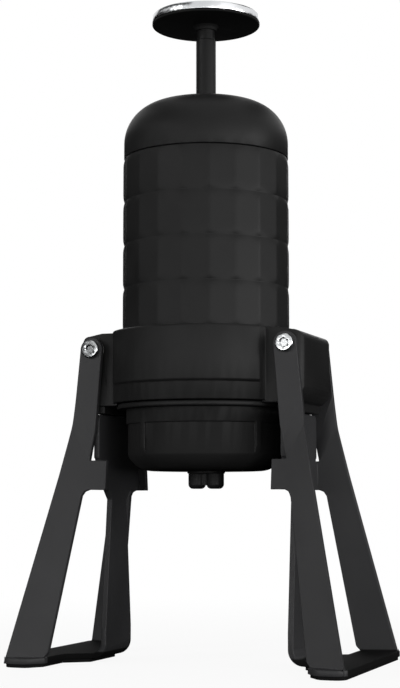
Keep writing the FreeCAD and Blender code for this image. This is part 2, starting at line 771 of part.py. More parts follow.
def make_check_spring():
    low = nozzle_bottom_z + valve_lip
    high = valve_chamber_top_z - 2 * check_ball_r - fit_gap
    mean_r = valve_chamber_r - check_spring_wire_r - 2 * fit_gap
    return coil(mean_r, check_spring_wire_r, low, high, check_spring_turns)


def make_pump_spring():
    low, high = valve_top_z + fit_gap, piston_bottom_z - fit_gap
    return coil(spring_mean_r, spring_wire_r, low, high, spring_turns)


def piston_groove():
    middle = V(0, 0, piston_top_z - piston_ring_drop)
    return Part.makeTorus(piston_r - o_ring_sunk * o_ring_r, o_ring_r, middle)


def make_piston():
    body = disc(piston_r, piston_bottom_z, piston_top_z)
    thread = disc(stud_r, piston_bottom_z + stud_foot, piston_top_z + 1)
    return body.cut(piston_groove()).cut(thread)


def make_piston_o_ring():
    """Ring in the piston's groove, held to the barrel's bore."""
    return piston_groove().common(disc(barrel_bore_r - shaft_gap, piston_bottom_z, piston_top_z))


def make_pump_rod():
    """Rod with a thinner neck under the knob and a stud into the piston."""
    top = knob_under_z
    neck_low = top - rod_neck_length
    rod = turned([(0, piston_top_z), (rod_r, piston_top_z), (rod_r, neck_low - rod_neck_slope),
                  (rod_neck_r, neck_low), (rod_neck_r, top), (0, top)])
    stud = disc(stud_r, piston_bottom_z + stud_foot, piston_top_z)
    thread = disc(knob_screw_r, top - knob_screw_length, top + 1)
    return fused([rod, stud]).cut(thread)


# --- Knob ---------------------------------------------------------------------------------
def make_knob_plate():
    """Bright metal cup: the top plate with its turned-down rim."""
    top, low, r = knob_top_z, knob_rim_z, knob_r
    inner = r - knob_rim_wall
    return turned([
        (0, top - knob_top_thickness), (inner, top - knob_top_thickness), (inner, low),
        (r - 0.5 * knob_edge, low), (r, low + 0.5 * knob_edge), (r, top - knob_edge),
        (r - knob_edge, top), (0, top)])


def make_knob_base():
    """Black base under the rim, with the hub that holds the rod."""
    inner = knob_r - knob_rim_wall
    high = knob_top_z - knob_top_thickness
    face_z = knob_under_z
    hub_low = face_z - hub_depth
    body = turned([
        (0, hub_low), (hub_r, hub_low), (hub_r, face_z - hub_flare), (hub_r + hub_flare, face_z),
        (knob_r - 0.5 * knob_edge, face_z), (knob_r, face_z + 0.5 * knob_edge), (knob_r, knob_rim_z),
        (inner, knob_rim_z), (inner, high), (0, high)])
    body = body.cut(disc(rod_neck_r, hub_low - 1, knob_under_z))
    body = body.cut(disc(knob_screw_r, knob_under_z - 1, high + 1))
    return body.cut(disc(knob_screw_head_r, high - knob_screw_head_height, high + 1))


def make_knob_screw():
    high = knob_top_z - knob_top_thickness
    head_low = high - knob_screw_head_height
    return fused([disc(knob_screw_r, knob_under_z - knob_screw_length, head_low),
                  disc(knob_screw_head_r, head_low, high)])


# --- Brewing group ------------------------------------------------------------------------
def make_dispersion_block():
    """Disc under the collar floor that spreads the water over the screen."""
    block_shape = disc(neck_bore_r, block_bottom_z, collar_floor_bottom_z)
    pocket = disc(gasket_bore_r, block_bottom_z - 1, block_bottom_z + block_pocket_depth)
    holes = hole_rosette(block_hole_circle_r, block_hole_r, block_bottom_z, collar_floor_bottom_z + 1, 1)
    return block_shape.cut(pocket).cut(holes)


def make_shower_screen():
    screen = disc(neck_bore_r, screen_bottom_z, block_bottom_z)
    holes = hole_rosette(hole_field_r, screen_hole_r, screen_bottom_z - 1, block_bottom_z + 1, 3)
    return screen.cut(holes)


def make_group_gasket():
    return ring(gasket_bore_r, neck_bore_r, gasket_bottom_z, screen_bottom_z)


# --- Basket holder ------------------------------------------------------------------------
def make_basket_holder():
    """Screw-on cup with a flange, rounded foot and shallow grip panels."""
    flange_top = collar_bottom_z - seam_gap
    bore = holder_bore_r
    edge = holder_flange_edge
    corner = holder_corner_r
    diagonal = math.sqrt(0.5)
    centre = V(holder_r - corner, 0, holder_bottom_z + corner)
    middle = V(centre.x + corner * diagonal, 0, centre.z - corner * diagonal)
    points = [
        V(bore, 0, flange_top), V(holder_flange_r - edge, 0, flange_top),
        V(holder_flange_r, 0, flange_top - edge), V(holder_flange_r, 0, holder_flange_bottom_z + edge),
        V(holder_flange_r - edge, 0, holder_flange_bottom_z), V(holder_r, 0, holder_flange_bottom_z),
        V(holder_r, 0, centre.z)]
    inside = [
        V(centre.x, 0, holder_bottom_z), V(holder_outlet_r, 0, holder_bottom_z),
        V(holder_outlet_r, 0, holder_floor_z - holder_floor_fall), V(basket_r + fit_gap, 0, holder_floor_z),
        V(basket_r + fit_gap, 0, holder_ledge_z), V(bore, 0, holder_ledge_z), points[0]]
    edges = [line(a, b) for a, b in zip(points, points[1:])]
    edges.append(arc(points[-1], middle, inside[0]))
    edges += [line(a, b) for a, b in zip(inside, inside[1:])]
    return turned_edges(edges).cut(Part.makeCompound([grip_panel(k) for k in range(grip_panels)]))


def grip_panel(index):
    """Shallow recess for the thumb; downward it runs out in the holder's rounded foot."""
    r = holder_r - grip_panel_depth
    profile = [V(r, 0, holder_bottom_z), V(holder_r + 1, 0, holder_bottom_z),
               V(holder_r + 1, 0, grip_panel_top_z), V(r, 0, grip_panel_top_z)]
    face = Part.Face(Part.makePolygon(profile + profile[:1]))
    start = -90 + grip_panel_turn - 0.5 * grip_panel_angle + 360.0 * index / grip_panels
    face.rotate(V(0, 0, 0), V(0, 0, 1), start)
    return face.revolve(V(0, 0, 0), V(0, 0, 1), grip_panel_angle)


def make_filter_basket():
    rim_top = holder_ledge_z + basket_rim_thickness
    inner = basket_r - basket_wall
    cup = turned([
        (0, basket_floor_z), (basket_r, basket_floor_z), (basket_r, holder_ledge_z),
        (basket_rim_r, holder_ledge_z), (basket_rim_r, rim_top), (inner, rim_top),
        (inner, basket_floor_z + basket_wall), (0, basket_floor_z + basket_wall)])
    holes = hole_rosette(hole_field_r, basket_hole_r, basket_floor_z - 1, basket_floor_z + 2, 3)
    return cup.cut(holes)


def make_twin_spout():
    """Two round-ended nozzles side by side under one plate."""
    plate_low = holder_bottom_z - spout_plate_thickness
    plate = disc(spout_plate_r, plate_low, holder_bottom_z)
    pieces = [plate]
    for side in (-1, 1):
        tube = disc(spout_r, spout_tip_z, plate_low, side * 0.5 * nozzle_spacing)
        tip = [e for e in tube.Edges if abs(e.BoundBox.ZMax - spout_tip_z) < 1e-6]
        pieces.append(tube.makeFillet(spout_tip_round, tip))
    bridge_x = 0.5 * nozzle_spacing
    pieces.append(block(-bridge_x, bridge_x, -spout_bridge_half_y, spout_bridge_half_y,
                        plate_low - spout_bridge_height, plate_low))
    spigot_top_z = holder_bottom_z + spout_spigot_height
    pieces.append(disc(holder_outlet_r, holder_bottom_z, spigot_top_z))
    spout = fused(pieces)
    roof_z = holder_bottom_z - spout_roof
    bores = [disc(spout_bore_r, spout_tip_z - 1, roof_z, side * bridge_x) for side in (-1, 1)]
    bores.append(disc(spout_spigot_bore_r, plate_low, spigot_top_z + 1))
    bores.append(block(-bridge_x, bridge_x, -spout_bore_r, spout_bore_r, plate_low - 1, roof_z))
    return spout.cut(Part.makeCompound(bores))


# --- Nodes --------------------------------------------------------------------------------
def pair(make, side):
    """Front and rear copy of a hinge piece as separate solids in one node."""
    return Part.makeCompound([make(side, -1), make(side, 1)])


right_leg = make_right_leg()
right_foot_pad = make_right_foot_pad()

nodes = {
    "collar": make_collar(),
    "grip_sleeve": make_grip_sleeve(),
    "tank_liner": make_tank_liner(),
    "dispersion_block": make_dispersion_block(),
    "shower_screen": make_shower_screen(),
    "group_gasket": make_group_gasket(),
    "left_hinge_screws": pair(make_hinge_screw, -1),
    "right_hinge_screws": pair(make_hinge_screw, 1),
    "left_hinge_washers": pair(make_hinge_washer, -1),
    "right_hinge_washers": pair(make_hinge_washer, 1),
    "left_detent_plungers": pair(make_detent_plunger, -1),
    "right_detent_plungers": pair(make_detent_plunger, 1),
    "left_leg": mirrored_x(right_leg),
    "right_leg": right_leg,
    "left_foot_pad": mirrored_x(right_foot_pad),
    "right_foot_pad": right_foot_pad,
    "top_cap": make_top_cap(),
    "cap_base": make_cap_base(),
    "cap_seal": make_cap_seal(),
    "rod_bush": make_rod_bush(),
    "rod_wiper": make_rod_wiper(),
    "pump_barrel": make_pump_barrel(),
    "barrel_screws": make_barrel_screws(),
    "barrel_plug": make_barrel_plug(),
    "valve_body": make_valve_body(),
    "nozzle_o_ring": make_nozzle_o_ring(),
    "inlet_flap": make_inlet_flap(),
    "check_ball": make_check_ball(),
    "check_spring": make_check_spring(),
    "pump_spring": make_pump_spring(),
    "piston": make_piston(),
    "piston_o_ring": make_piston_o_ring(),
    "pump_rod": make_pump_rod(),
    "knob_base": make_knob_base(),
    "knob_plate": make_knob_plate(),
    "knob_screw": make_knob_screw(),
    "basket_holder": make_basket_holder(),
    "filter_basket": make_filter_basket(),
    "twin_spout": make_twin_spout(),
}

os.makedirs("parts", exist_ok=True)
for name, shape in nodes.items():
    shape.exportStep("parts/" + name + ".step")
    print(name, len(shape.Solids), round(shape.Volume, 1), shape.isValid())
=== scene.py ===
from contextlib import contextmanager
import json
import math

import bmesh
import bpy
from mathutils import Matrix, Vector


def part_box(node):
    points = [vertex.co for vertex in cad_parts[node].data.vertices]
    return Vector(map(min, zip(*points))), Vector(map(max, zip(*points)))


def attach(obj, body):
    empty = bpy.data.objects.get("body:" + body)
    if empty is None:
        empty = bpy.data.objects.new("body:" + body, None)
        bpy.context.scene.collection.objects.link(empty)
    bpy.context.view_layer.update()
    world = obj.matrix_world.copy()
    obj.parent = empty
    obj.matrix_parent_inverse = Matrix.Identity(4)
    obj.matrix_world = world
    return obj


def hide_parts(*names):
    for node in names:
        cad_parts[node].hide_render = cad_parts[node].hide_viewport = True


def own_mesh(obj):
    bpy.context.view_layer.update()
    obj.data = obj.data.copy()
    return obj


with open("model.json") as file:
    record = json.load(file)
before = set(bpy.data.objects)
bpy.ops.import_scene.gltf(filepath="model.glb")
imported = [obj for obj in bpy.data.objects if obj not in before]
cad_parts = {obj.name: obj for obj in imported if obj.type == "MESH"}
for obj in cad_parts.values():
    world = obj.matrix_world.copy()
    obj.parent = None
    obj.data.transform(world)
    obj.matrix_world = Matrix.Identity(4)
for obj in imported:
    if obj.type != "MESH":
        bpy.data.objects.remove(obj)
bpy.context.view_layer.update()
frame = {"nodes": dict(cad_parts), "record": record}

MM = 0.001
WHITE = (1, 1, 1, 1)
MERGED_WITHIN = 0.002 * MM   # vertices of one solid's neighbouring faces
NUDGE = 0.0001               # keeps a whole number from falling to the one below it


def placed(name, data):
    """New object in the scene that holds data."""
    obj = bpy.data.objects.new(name, data)
    bpy.context.scene.collection.objects.link(obj)
    return obj


# --- Node trees written as expressions --------------------------------------------------------
class Signal:
    """An output of a node that takes part in sums, products and comparisons."""

    def __init__(self, tree, socket):
        self.tree, self.socket = tree, socket

    def _math(self, operation, *terms):
        return self.tree.node("ShaderNodeMath", {"operation": operation}, dict(enumerate(terms)))

    def __add__(self, other):
        return self._math("ADD", self, other)

    def __sub__(self, other):
        return self._math("SUBTRACT", self, other)

    def __rsub__(self, other):
        return self._math("SUBTRACT", other, self)

    def __mul__(self, other):
        return self._math("MULTIPLY", self, other)

    def __truediv__(self, other):
        return self._math("DIVIDE", self, other)

    def __rtruediv__(self, other):
        return self._math("DIVIDE", other, self)

    def __pow__(self, power):
        return self._math("POWER", self, power)

    __radd__ = __add__

    def over(self, edge):
        return self._math("GREATER_THAN", self, edge)

    def at_most(self, other):
        return self._math("MINIMUM", self, other)

    def at_least(self, other):
        return self._math("MAXIMUM", self, other)

    def whole(self):
        return self._math("FLOOR", self)

    def size(self):
        return self._math("ABSOLUTE", self)

    def sine(self):
        return self._math("SINE", self)

    def cosine(self):
        return self._math("COSINE", self)

    def ramp(self, low, high):
        """0 at low and 1 at high, eased at both ends."""
        return self.tree.node("ShaderNodeMapRange", {"interpolation_type": "SMOOTHSTEP"},
                              {"Value": self, "From Min": low, "From Max": high})


class Tree:
    """Makes nodes: a type, settings that are set first, and the values or links of its sockets."""

    def __init__(self, tree):
        self.tree = tree

    def node(self, kind, settings=None, sockets=None, out=0):
        made = self.tree.nodes.new(kind)
        for key, value in (settings or {}).items():
            setattr(made, key, value)
        for key, value in (sockets or {}).items():
            if isinstance(value, Signal):
                self.tree.links.new(value.socket, made.inputs[key])
            else:
                made.inputs[key].default_value = value
        return None if out is None else Signal(self, made.outputs[out])

    def several(self, kind, sockets, outs):
        """One node of which several outputs are used."""
        made = self.node(kind, None, sockets, outs[0]).socket.node
        return [Signal(self, made.outputs[out]) for out in outs]

    def parts(self, vector):
        return self.several("ShaderNodeSeparateXYZ", {"Vector": vector}, (0, 1, 2))

    def blended(self, share, under, over):
        """Shader that is under where share is 0 and over where it is 1."""
        return self.node("ShaderNodeMixShader", None, {0: share, 1: under, 2: over})


def plain_piece(name, maker, crease=0.0):
    """Turns a maker with its modifiers into a plain mesh object, sharp where it creases."""
    graph = bpy.context.evaluated_depsgraph_get()
    mesh = bpy.data.meshes.new_from_object(maker.evaluated_get(graph))
    bpy.data.objects.remove(maker)
    mesh.name = name
    if crease:
        mesh.set_sharp_from_angle(angle=math.radians(crease))
    return placed(name, mesh)


def straight_runs(place, values):
    """Runs straight from each value to the next as place goes through 0, 1, 2 and on."""
    value, slope = values[0], 0.0
    for start, (low, high) in enumerate(zip(values, values[1:])):
        steeper = high - low - slope
        value = (place - start).at_least(0.0) * steeper + value
        slope += steeper
    return value


class Build(Tree):
    """Geometry tree with named inputs, whose result becomes a plain mesh."""

    def __init__(self, name, inputs):
        super().__init__(bpy.data.node_groups.new(name, "GeometryNodeTree"))
        self.tree.interface.new_socket(
            "Geometry", in_out="OUTPUT", socket_type="NodeSocketGeometry")
        self.values = dict(inputs)
        for label, value in inputs.items():
            kind = "NodeSocketInt" if isinstance(value, int) else "NodeSocketFloat"
            self.tree.interface.new_socket(label, in_out="INPUT", socket_type=kind)
        self.entry = self.tree.nodes.new("NodeGroupInput")

    def take(self, label):
        return Signal(self, self.entry.outputs[label])

    def position(self):
        return self.node("GeometryNodeInputPosition")

    def combine(self, x, y, z):
        return self.node("ShaderNodeCombineXYZ", None, {0: x, 1: y, 2: z})

    def rolled(self, grid, position):
        """A flat grid moved to its real place, with its meeting edges joined."""
        moved = self.node("GeometryNodeSetPosition", None, {"Geometry": grid, "Position": position})
        return self.node("GeometryNodeMergeByDistance", None, {
            "Geometry": moved, "Distance": 0.001 * MM})

    def grid(self, around, along):
        """Flat grid of along lines, each with around steps."""
        return self.node("GeometryNodeMeshGrid", None, {
            "Size X": 1.0, "Size Y": 1.0, "Vertices X": around + 1, "Vertices Y": along})

    def finish(self, name, geometry, finish, crease=0.0):
        """Closes the tree, evaluates it and returns the plain mesh object."""
        real = self.node("GeometryNodeRealizeInstances", None, {"Geometry": geometry})
        shaded = self.node("GeometryNodeSetShadeSmooth", None, {
            "Geometry": real, "Shade Smooth": True})
        dressed = self.node("GeometryNodeSetMaterial", None, {
            "Geometry": shaded, "Material": finish})
        self.node("NodeGroupOutput", None, {"Geometry": dressed}, out=None)
        maker = placed(name + "_maker", bpy.data.meshes.new(name + "_maker"))
        modifier = maker.modifiers.new("build", "NODES")
        modifier.node_group = self.tree
        for item in self.tree.interface.items_tree:
            if item.in_out == "INPUT":
                modifier[item.identifier] = self.values[item.name]
        return plain_piece(name, maker, crease)


class Finish(Tree):
    """One procedural surface. Patterns read Object coordinates, in metres."""

    def __init__(self, name):
        self.material = bpy.data.materials.new(name)
        self.material.use_nodes = True
        super().__init__(self.material.node_tree)
        self.tree.nodes.clear()
        self.place = self.node("ShaderNodeTexCoord", out="Object")

    def noise(self, scale, detail=2.0, roughness=0.5, stretch=None):
        place = self.place
        if stretch:
            place = self.node("ShaderNodeMapping", None, {"Vector": place, "Scale": stretch})
        return self.node("ShaderNodeTexNoise", None, {
            "Vector": place, "Scale": scale, "Detail": detail, "Roughness": roughness})

    def mix(self, share, a, b):
        return self.node("ShaderNodeMix", {"data_type": "RGBA"}, {0: share, 6: a, 7: b}, out=2)

    def bump(self, height, strength, distance, under=None):
        sockets = {"Height": height, "Strength": strength, "Distance": distance}
        if under is not None:
            sockets["Normal"] = under
        return self.node("ShaderNodeBump", None, sockets)

    def surface(self, **sockets):
        """Principled surface; the names use _ for the blanks in socket names."""
        named = {key.replace("_", " "): value for key, value in sockets.items()}
        return self.node("ShaderNodeBsdfPrincipled", None, named, out="BSDF")

    def end(self, surface):
        self.node("ShaderNodeOutputMaterial", None, {"Surface": surface}, out=None)
        return self.material

    def close(self, **sockets):
        return self.end(self.surface(**sockets))


# --- Finishes ---------------------------------------------------------------------------------
def rgb(code):
    """Linear colour from a six-digit sRGB code."""
    shares = [int(code[i:i + 2], 16) / 255 for i in (0, 2, 4)]
    linear = [c / 12.92 if c <= 0.04045 else ((c + 0.055) / 1.055) ** 2.4 for c in shares]
    return (*linear, 1.0)


def moulded_plastic(name, dark, light, rough, grain, shine):
    """Moulded plastic with a fine spark-eroded grain and slightly uneven gloss."""
    f = Finish(name)
    cloud = f.noise(38.0, 3.0)
    fine = f.noise(2600.0, 2.0, 0.6)
    colour = f.mix(cloud.ramp(0.35, 0.65), rgb(dark), rgb(light))
    roughness = (cloud - 0.5) * 0.10 + (fine - 0.5) * 0.12 + rough
    normal = f.bump(fine, grain, 0.05 * MM)
    return f.close(Base_Color=colour, Roughness=roughness, Normal=normal,
                   Specular_IOR_Level=shine)


def powder_coat(name, dark, light, rough, shine, foot_top=None):
    """Satin powder coating: orange peel under a finer grain. Below the height foot_top, between a
    leg's two arms, which stand further apart the further out they reach, it is rougher and painted
    darker as shade."""
    f = Finish(name)
    peel = f.noise(650.0, 2.0, 0.4)
    fine = f.noise(3000.0, 1.0)
    cloud = f.noise(30.0, 3.0)
    colour = f.mix(cloud.ramp(0.3, 0.7), rgb(dark), rgb(light))
    roughness = (peel - 0.5) * 0.10 + (cloud - 0.5) * 0.08 + rough
    normal = f.bump(fine, 0.10, 0.03 * MM, f.bump(peel, 0.22, 0.06 * MM))
    coat = f.surface(Base_Color=colour, Roughness=roughness, Normal=normal,
                     Specular_IOR_Level=shine)
    if not foot_top:
        return f.end(coat)
    x, y, z = f.parts(f.place)
    uneven = (cloud - 0.5) * 0.4 * MM
    fade, arm_splay, arm_inner_y = 0.8 * MM, 0.34, 17.0 * MM
    low = 1 - (z + uneven).ramp(foot_top, foot_top + fade)
    from_middle = y.size() - x.size() * arm_splay + uneven
    between_arms = 1 - from_middle.ramp(arm_inner_y, arm_inner_y + fade)
    # painted shade: the foot plate's top between the arms, under the body, is coloured darker than
    # the coat
    painted_shade_colour = f.mix(cloud.ramp(0.3, 0.7), rgb("0c0c0c"), rgb("131313"))
    grainy = f.bump(fine, 0.2, 0.04 * MM)
    painted_shade = f.surface(Base_Color=painted_shade_colour, Roughness=0.8, Normal=grainy, Specular_IOR_Level=0.05)
    return f.end(f.blended(low * between_arms, coat, painted_shade))


def bright_metal(name, dark, light, rough):
    """Polished metal with faint hairlines."""
    f = Finish(name)
    hairs = f.noise(220.0, 3.0, 0.6, stretch=(1.0, 1.0, 40.0))
    cloud = f.noise(60.0, 2.0)
    colour = f.mix(cloud.ramp(0.3, 0.7), rgb(dark), rgb(light))
    roughness = hairs * 0.06 + cloud * 0.04 + rough
    normal = f.bump(hairs, 0.06, 0.02 * MM)
    return f.close(Base_Color=colour, Metallic=1.0, Roughness=roughness, Normal=normal)


def soft_rubber(name, dark, light, rough, shine):
    """Matt rubber or silicone with a fine skin."""
    f = Finish(name)
    cloud = f.noise(90.0, 3.0)
    fine = f.noise(1500.0, 2.0)
    colour = f.mix(cloud.ramp(0.3, 0.7), rgb(dark), rgb(light))
    roughness = (cloud - 0.5) * 0.12 + rough
    normal = f.bump(fine, 0.16, 0.05 * MM)
    return f.close(Base_Color=colour, Roughness=roughness, Normal=normal,
                   Specular_IOR_Level=shine)


black = moulded_plastic("moulded_black", "181818", "1c1c1c", rough=0.46, grain=0.10, shine=0.13)
knob_black = moulded_plastic("knob_black", "191919", "1d1d1d", rough=0.55, grain=0.12, shine=0.04)
leg_coat = powder_coat("leg_powder_coat", "2c2c2d", "313132", rough=0.46, shine=0.17,
                       foot_top=4.0 * MM)
rod_coat = powder_coat("rod_black_coat", "111111", "161616", rough=0.42, shine=0.14)
chrome = bright_metal("knob_chrome", "c9cbcd", "dcdddf", rough=0.15)
steel = bright_metal("screw_steel", "a9abac", "c3c5c6", rough=0.16)
basket_steel = bright_metal("basket_steel", "a4a6a8", "bcbec0", rough=0.22)
pump_white = moulded_plastic("pump_plastic", "c3c4c0", "d1d2ce", rough=0.40, grain=0.05, shine=0.5)
tank_clear = moulded_plastic("tank_plastic", "8c9296", "9aa0a4", rough=0.28, grain=0.03, shine=0.5)
silicone = soft_rubber("silicone_seal", "6d6f70", "7b7d7e", rough=0.62, shine=0.3)
rubber = soft_rubber("foot_rubber", "080808", "0d0d0d", rough=0.7, shine=0.08)

finish_of_slot = {
    "black_plastic": black, "leg_coating": leg_coat, "rod_coating": rod_coat,
    "bright_chrome": chrome, "stainless": basket_steel, "pump_plastic": pump_white,
    "tank_plastic": tank_clear, "silicone": silicone, "black_rubber": rubber}

finish_of_node = {
    "left_hinge_screws": steel, "right_hinge_screws": steel,
    "left_detent_plungers": steel, "right_detent_plungers": steel,
    "knob_base": knob_black, "rod_wiper": rubber}

slot_of_node = {part["node"]: part["material_slot"] for part in frame["record"]["subparts"]}
body_of_node = {node: body for body, nodes in frame["record"]["behaviour"]["bodies"].items()
                for node in nodes}


def finish_of(node):
    """Its own finish, or else that of the node's slot in the record."""
    return finish_of_node.get(node) or finish_of_slot[slot_of_node[node]]


def stands_for(piece, node):
    """The piece moves with the node's body and is shown in the node's place."""
    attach(piece, body_of_node[node])
    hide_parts(node)


for name, obj in frame["nodes"].items():
    finish = finish_of(name)
    if not obj.material_slots:
        obj.data.materials.append(finish)
    for slot in obj.material_slots:
        slot.material = finish


# --- Quilted grip sleeve ----------------------------------------------------------------------
def quilted_sleeve():
    """Tube of pillowed facets: a polygon in each row's middle that turns round at its edges."""
    low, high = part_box("grip_sleeve")
    facet_steps, row_steps = 12, 14
    pillow = 2.6   # how soon a facet is full, from its row's edge
    build = Build("quilted_sleeve", {
        "Corner Radius": 35.7 * MM, "Bore Radius": 33.1 * MM, "Bottom": low.z,
        "Height": high.z - low.z, "Facets": 20, "Rows": 4, "Facet Turn": math.radians(4.45),
        "Fall": 0.16 * MM, "Rounding": 3.6 * MM})
    facets, rows = build.take("Facets"), build.take("Rows")
    # The grid's lines climb the outside, then go in, down the bore and out again.
    last_row = rows * row_steps
    grid = build.grid(facets * facet_steps, last_row + 4)
    u, v, _ = build.parts(build.position())
    column = (u + 0.5) * facets
    line = ((v + 0.5) * (last_row + 3) + 10 * NUDGE).whole()
    inner = line.over(last_row + 0.5) * (1 - line.over(last_row + 2.5))
    climb = (line / row_steps).at_most(rows) * (1 - line.over(last_row + 1.5))
    row = (climb + NUDGE).whole()
    eased = 0.5 - ((climb - row) * math.pi).cosine() * 0.5
    row_height = build.take("Height") / rows
    z = build.take("Bottom") + (row + eased) * row_height
    to_edge = (0.5 - (eased - 0.5).size()) * row_height / build.take("Rounding")
    fullness = 1 - (1 - to_edge.at_most(1.0).at_least(0.0)) ** pillow
    half_step = math.pi / facets
    across_facet = (column - (column + NUDGE).whole() - 0.5) * 2 * half_step
    apothem = build.take("Corner Radius") * half_step.cosine()
    corner = apothem / across_facet.cosine() - apothem
    outer = apothem - build.take("Fall") * (1 - fullness) + corner * fullness
    radius = outer + inner * (build.take("Bore Radius") - outer)
    turn = column * 2 * half_step + build.take("Facet Turn")
    shell = build.rolled(grid, build.combine(radius * turn.cosine(), radius * turn.sine(), z))
    return build.finish("quilted_grip_sleeve", shell, black)


stands_for(quilted_sleeve(), "grip_sleeve")


# --- Hinge screws -----------------------------------------------------------------------------
def hinge_screws(node):
    """Front and rear screw of one hinge, each turned from its thread's end to its socket."""
    low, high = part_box(node)
    # Radius and depth under the head's face, in millimetres; the last three make the socket.
    outline = [
        (0, 13.7), (1.6, 13.7), (2.0, 13.3), (2.0, 4.7), (2.5, 4.7), (2.5, 1.5),
        (3.65, 1.5), (3.8, 1.35), (3.8, 0.75), (3.74, 0.46), (3.58, 0.22), (3.34, 0.06), (3.05, 0),
        (2.0, 0), (1.55, 0.25), (1.55, 0.9), (0, 0.9)]
    build = Build(node + "_tree", {
        "Pivot X": 0.5 * (low.x + high.x), "Pivot Z": 0.5 * (low.z + high.z), "Reach": high.y,
        "Around": 48, "Screws": 2})
    grid = build.grid(build.take("Around"), len(outline))
    u, v, _ = build.parts(build.position())
    stop = (v + 0.5) * (len(outline) - 1)
    radius, depth = [straight_runs(stop, [value * MM for value in values])
                     for values in zip(*outline)]
    turn = (u + 0.5) * 2 * math.pi
    sixth = turn * 3 / math.pi
    corner = ((sixth - (sixth + NUDGE).whole() - 0.5) * (math.pi / 3)).cosine()
    in_socket = stop.over(len(outline) - 3.5) * (1 - stop.over(len(outline) - 1.5))
    radius = radius * (1 + in_socket * (1 / corner - 1))
    turned = build.rolled(grid, build.combine(
        radius * turn.cosine(), depth - build.take("Reach"), radius * turn.sine()))
    hinge = build.node("GeometryNodeMeshLine", None, {
        "Count": build.take("Screws"), "Offset": (0, 0, 0),
        "Start Location": build.combine(build.take("Pivot X"), 0.0, build.take("Pivot Z"))})
    half_turn = build.combine(0.0, 0.0, build.node("GeometryNodeInputIndex") * math.pi)
    both = build.node("GeometryNodeInstanceOnPoints", None, {
        "Points": hinge, "Instance": turned, "Rotation": half_turn})
    return build.finish(node.replace("screws", "socket_screws"), both, finish_of(node), 30.0)


for side in ("left", "right"):
    stands_for(hinge_screws(side + "_hinge_screws"), side + "_hinge_screws")


# --- Mouldings and bent sheet with their edges rounded -----------------------------------------
@contextmanager
def opened(mesh):
    """The mesh open for editing; what was changed is written back at the end."""
    work = bmesh.new()
    work.from_mesh(mesh)
    yield work
    work.to_mesh(mesh)
    work.free()


def merged(work, within=MERGED_WITHIN):
    """Joins the vertices that lie within that distance of each other."""
    bmesh.ops.remove_doubles(work, verts=work.verts[:], dist=within)


def softened(node, name, round_by, soften=None, flat_over=0.0):
    """The solid's own shape with its edges rounded by round_by, in mm. soften works on the sharp
    shape first. Faces over flat_over, in mm2, keep their flat shading."""
    mesh = frame["nodes"][node].data.copy()
    with opened(mesh) as work:
        merged(work)
        bmesh.ops.dissolve_limit(
            work, angle_limit=math.radians(0.4), verts=work.verts[:], edges=work.edges[:])
        if soften:
            soften(work)
    mesh.shade_smooth()
    maker = placed(name + "_maker", mesh)
    edges = maker.modifiers.new("edges", "BEVEL")
    edges.width, edges.segments = round_by * MM, 2
    edges.limit_method, edges.angle_limit = "ANGLE", math.radians(28)
    edges.use_clamp_overlap = False
    edges.harden_normals = not flat_over
    piece = plain_piece(name, maker)
    if flat_over:
        with opened(piece.data) as work:
            drop_slivers(work)
            for face in work.faces:
                if face.calc_area() > flat_over * MM ** 2:
                    for edge in face.edges:
                        edge.smooth = False
    stands_for(piece, node)


def drop_slivers(work):
    """Removes the tiny stray faces that the rounding leaves where small faces meet."""
    merged(work, 0.02 * MM)
    bmesh.ops.dissolve_degenerate(work, edges=work.edges[:], dist=0.01 * MM)
    slivers = [f for f in work.faces if f.calc_area() < 0.5 * MM ** 2
               and sum(len(e.link_faces) != 2 for e in f.edges) > 1]
    bmesh.ops.delete(work, geom=slivers, context="FACES")


def soften_bend(work):
    """Rounds the crease where each arm leaves its upright plane."""
    creases = [e for e in work.edges if e.is_manifold and e.calc_length() > 15 * MM
               and math.radians(15) < e.calc_face_angle() < math.radians(25)]
    bmesh.ops.bevel(work, geom=creases, offset=3.5 * MM, offset_type="OFFSET", segments=5,
                    profile=0.5, affect="EDGES", clamp_overlap=False)


softened("collar", "collar_moulding", 0.35)
softened("basket_holder", "basket_holder_moulding", 0.25)
softened("twin_spout", "twin_spout_moulding", 0.2)
softened("top_cap", "dome_moulding", 0.25)
softened("knob_base", "knob_base_moulding", 0.15)
softened("knob_plate", "knob_cup", 0.15)
for side in ("left", "right"):
    softened(side + "_leg", side + "_leg_bent_sheet", 0.3, soften=soften_bend, flat_over=40.0)
    softened(side + "_foot_pad", side + "_foot_rubber", 0.2)


def return_spring():
    """The return spring's own coil."""
    mesh = frame["nodes"]["pump_spring"].data.copy()
    with opened(mesh) as work:
        merged(work)
    mesh.shade_smooth()
    coil = placed("return_spring_coil", mesh)
    stands_for(coil, "pump_spring")
    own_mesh(coil)


return_spring()


# --- Studio -----------------------------------------------------------------------------------
def flat_sheet(name, corners, finish):
    """One flat face that belongs to the studio and not to the object."""
    mesh = bpy.data.meshes.new(name)
    mesh.from_pydata(corners, [], [tuple(range(len(corners)))])
    mesh.materials.append(finish)
    sheet = placed(name, mesh)
    return sheet


def studio_floor():
    """Pale floor: lit and shadowed near the object, plain white where it runs out behind."""
    f = Finish("studio_floor")
    x, y, _ = f.parts(f.place)
    reach = (x * x + y * y) ** 0.5
    cloud = f.noise(3.0, 2.0)
    colour = f.mix(cloud.ramp(0.2, 0.8), rgb("f4f4f4"), rgb("f8f8f8"))
    near = f.surface(Base_Color=colour, Roughness=0.7, Specular_IOR_Level=0.1)
    white = f.node("ShaderNodeEmission", None, {"Color": WHITE, "Strength": 1.0})
    shadow = 0.08   # share of the floor that takes light and shadow under the object
    glow = reach.ramp(0.05, 0.5) * shadow + (1 - shadow)
    return f.end(f.blended(glow, near, white))


